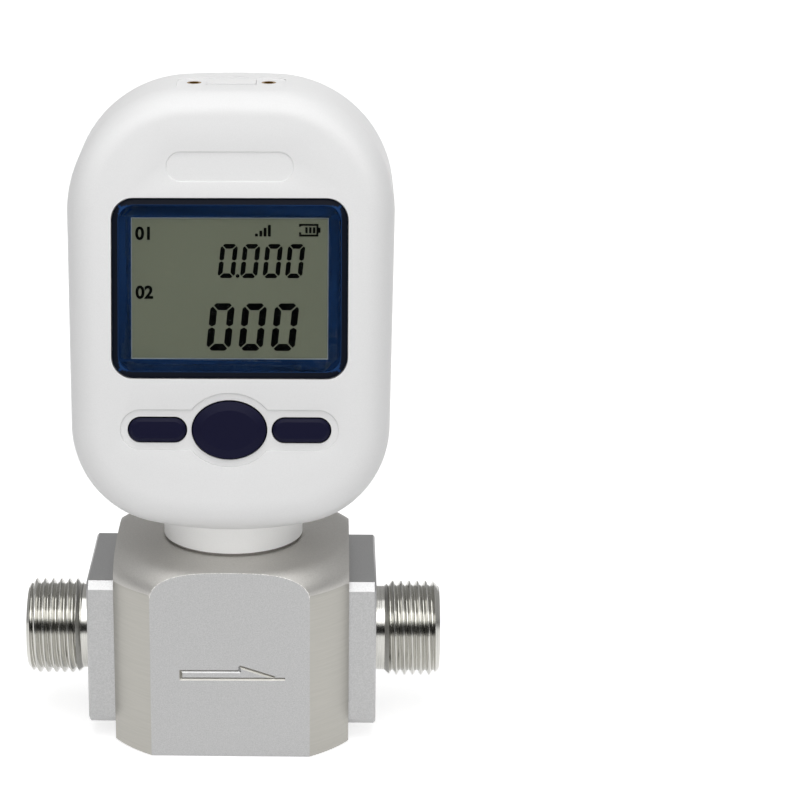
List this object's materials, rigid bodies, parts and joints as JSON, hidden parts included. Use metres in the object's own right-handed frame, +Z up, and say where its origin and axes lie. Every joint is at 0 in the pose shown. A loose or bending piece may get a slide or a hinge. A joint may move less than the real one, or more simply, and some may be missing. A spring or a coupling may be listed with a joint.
{
  "type": "portable gas flow meter",
  "caption": "Portable gas flow meter: a square metal flow block with flanged, threaded pipe ends, and a white display head with buttons on a short neck.",
  "frame": {"origin": "centre of the flow block's underside", "axes": "+X along the flow, from the inlet to the outlet; +Y to the back; +Z up"},
  "size_m": [0.0908, 0.0508, 0.1418],
  "materials": {
    "blasted_aluminium": "bead-blasted",
    "machined_steel": "turned and milled",
    "screw_steel": "plain stainless",
    "mesh_steel": "woven and tinned",
    "grey_plastic": "moulded",
    "black_rubber": "moulded",
    "circuit_board": "solder mask",
    "silicon": "polished",
    "ribbon": "film",
    "white_casing": "fine moulded satin",
    "navy_frame": "moulded",
    "clear_window": "polished",
    "display_glass": "grey-green reflective display",
    "light_guide": "moulded",
    "switch_plastic": "moulded",
    "navy_keys": "moulded satin",
    "white_rubber": "moulded",
    "insert_brass": "turned",
    "battery_wrap": "shrunk sleeve"
  },
  "bodies": {
    "meter": {"flow_body": "blasted_aluminium", "inlet_fitting": "machined_steel", "outlet_fitting": "machined_steel", "fitting_screws": "screw_steel", "carrier_screws": "screw_steel", "neck_screws": "screw_steel", "collar_screws": "screw_steel", "shell_screws": "screw_steel", "board_screws": "screw_steel", "door_screws": "screw_steel", "flow_screens": "mesh_steel", "radio_module": "mesh_steel", "flow_straightener": "grey_plastic", "sensor_carrier": "grey_plastic", "fitting_o_rings": "black_rubber", "carrier_o_ring": "black_rubber", "neck_gasket": "black_rubber", "shell_seal": "black_rubber", "sensor_board": "circuit_board", "main_board": "circuit_board", "sensor_chip": "silicon", "sensor_cable": "ribbon", "antenna": "ribbon", "front_shell": "white_casing", "rear_shell": "white_casing", "battery_door": "white_casing", "neck_post": "white_casing", "display_bezel": "navy_frame", "display_window": "clear_window", "lcd_panel": "display_glass", "backlight": "light_guide", "key_switches": "switch_plastic", "data_socket": "switch_plastic", "dust_cap": "white_rubber", "port_inserts": "insert_brass", "battery_pack": "battery_wrap"},
    "left_button": {"left_button": "navy_keys"},
    "centre_button": {"centre_button": "navy_keys"},
    "right_button": {"right_button": "navy_keys"}
  },
  "joints": [
    {"name": "left_button_press", "type": "slide", "parent": "meter", "child": "left_button", "axis": [0, 0.9781, -0.2079], "range_m": [0, 0.0005], "stiffness_N_per_m": 2000},
    {"name": "centre_button_press", "type": "slide", "parent": "meter", "child": "centre_button", "axis": [0, 0.9781, -0.2079], "range_m": [0, 0.0005], "stiffness_N_per_m": 2000},
    {"name": "right_button_press", "type": "slide", "parent": "meter", "child": "right_button", "axis": [0, 0.9781, -0.2079], "range_m": [0, 0.0005], "stiffness_N_per_m": 2000}
  ]
}
